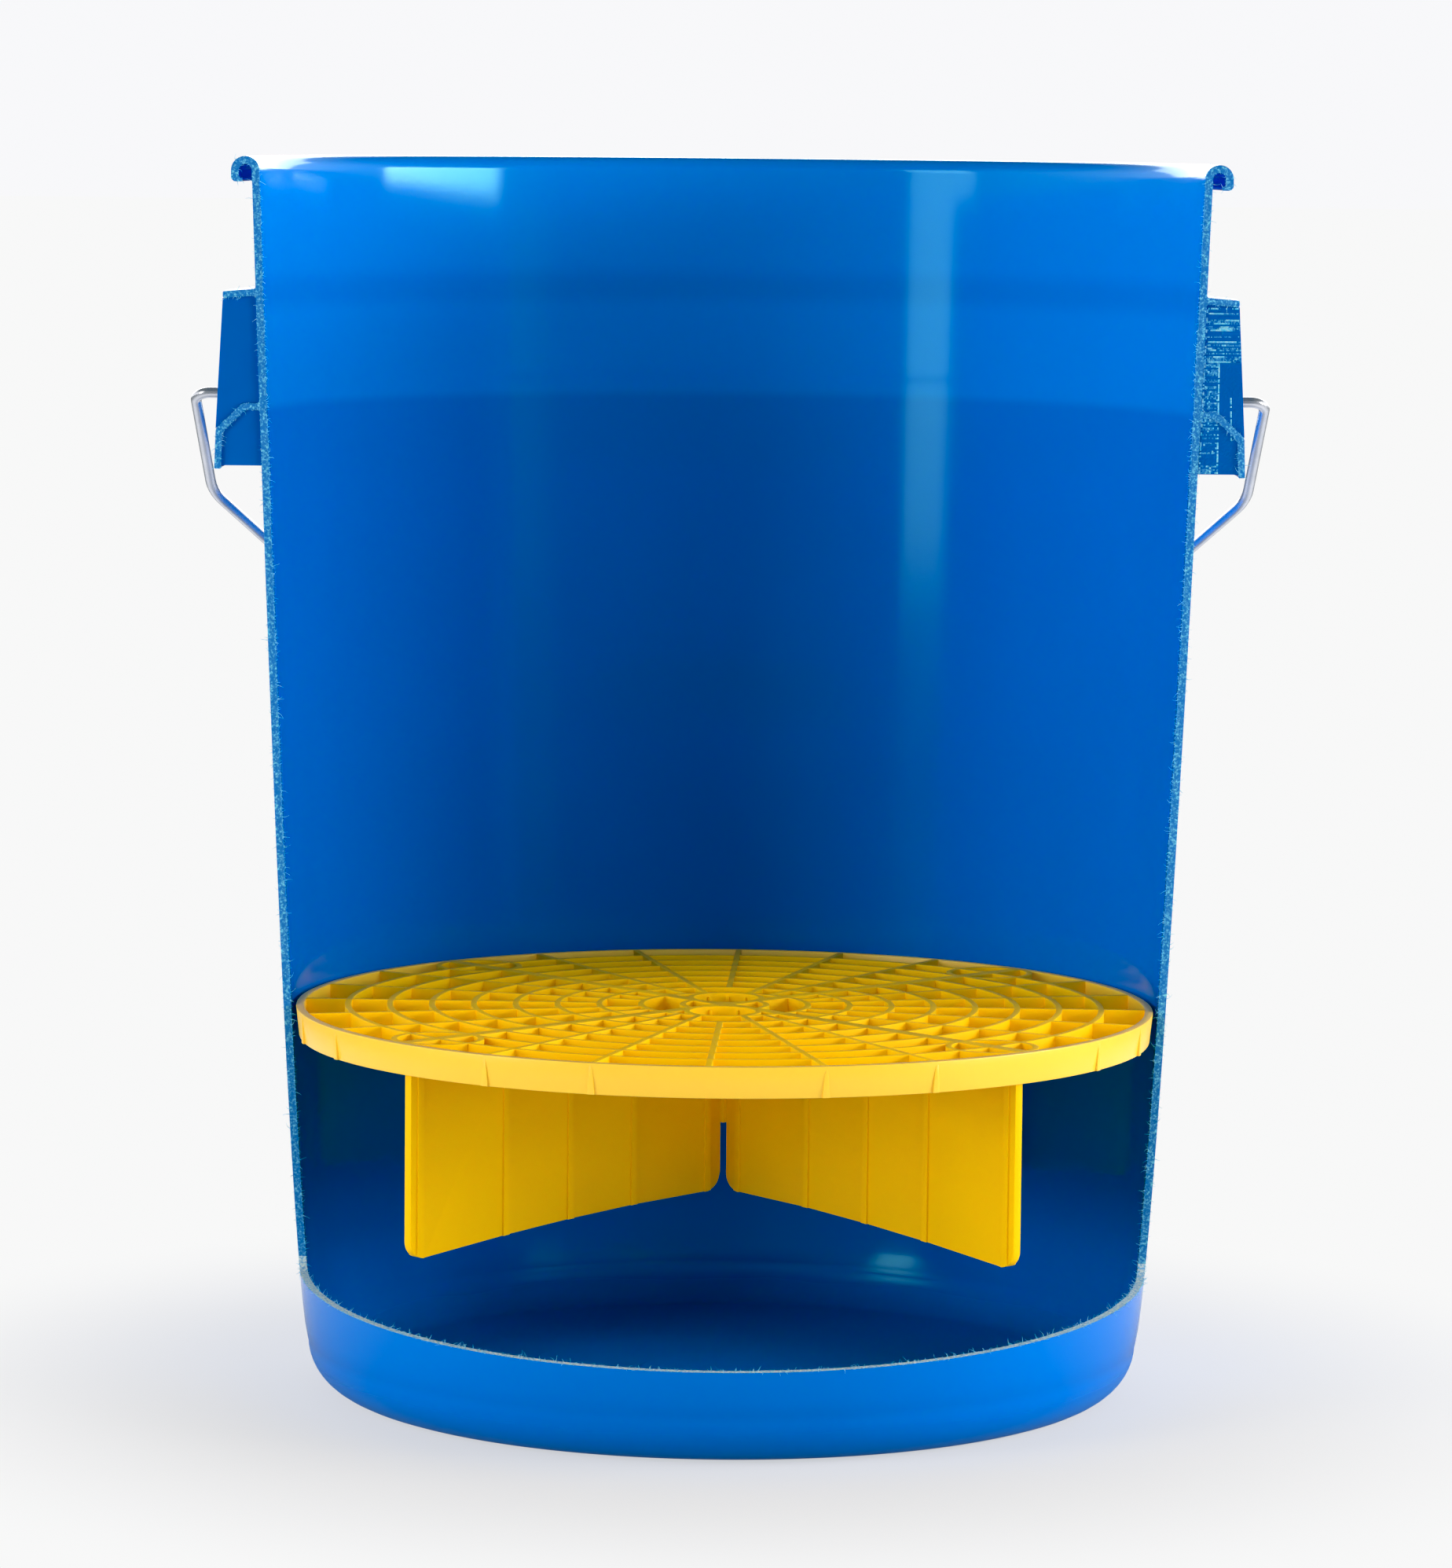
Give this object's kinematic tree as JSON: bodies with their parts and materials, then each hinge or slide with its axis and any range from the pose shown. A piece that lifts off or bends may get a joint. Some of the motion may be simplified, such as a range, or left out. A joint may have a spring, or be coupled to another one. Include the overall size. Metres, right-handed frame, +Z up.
{
  "type": "wash bucket",
  "caption": "Cut-away wash bucket: a moulded pail sawn open at the front, with a swinging wire bail, a roller grip and a vaned grit guard that lifts out.",
  "frame": {"origin": "on the axis of the pail, in the plane it stands on", "axes": "+Z up, along the pail's axis; the sawn opening faces -Y; the bail ears are on +X and -X"},
  "size_m": [0.3254, 0.2873, 0.372],
  "materials": {
    "pail_plastic": "blue moulded polyethylene, glossy, rough and pale where it was sawn",
    "bail_steel": "bright plated steel wire",
    "grip_plastic": "black moulded plastic",
    "guard_plastic": "yellow moulded polyethylene, satin gloss"
  },
  "bodies": {
    "pail": {"pail_floor": "pail_plastic", "pail_heel": "pail_plastic", "pail_wall": "pail_plastic", "rim_curl": "pail_plastic", "handle_flange": "pail_plastic", "stacking_band": "pail_plastic", "ear_left": "pail_plastic", "ear_right": "pail_plastic"},
    "bail": {"bail_wire": "bail_steel", "bail_end_left": "bail_steel", "bail_end_right": "bail_steel"},
    "grip": {"bail_grip": "grip_plastic"},
    "guard": {"guard_rim": "guard_plastic", "guard_hub": "guard_plastic", "grid_front": "guard_plastic", "grid_right": "guard_plastic", "grid_back": "guard_plastic", "grid_left": "guard_plastic", "vane_front_left": "guard_plastic", "vane_front_right": "guard_plastic", "vane_back_left": "guard_plastic", "vane_back_right": "guard_plastic"}
  },
  "joints": [
    {"name": "bail_swing", "type": "hinge", "parent": "pail", "child": "bail", "pos_m": [0, 0, 0.301], "axis": [1, 0, 0], "range_deg": [0, 290]},
    {"name": "grip_spin", "type": "hinge", "parent": "bail", "child": "grip", "pos_m": [0, 0.14777, 0.20356], "axis": [1, 0, 0], "continuous": true},
    {"name": "guard_lift", "type": "slide", "parent": "pail", "child": "guard", "axis": [0, 0, 1], "range_m": [0, 0.34]}
  ]
}
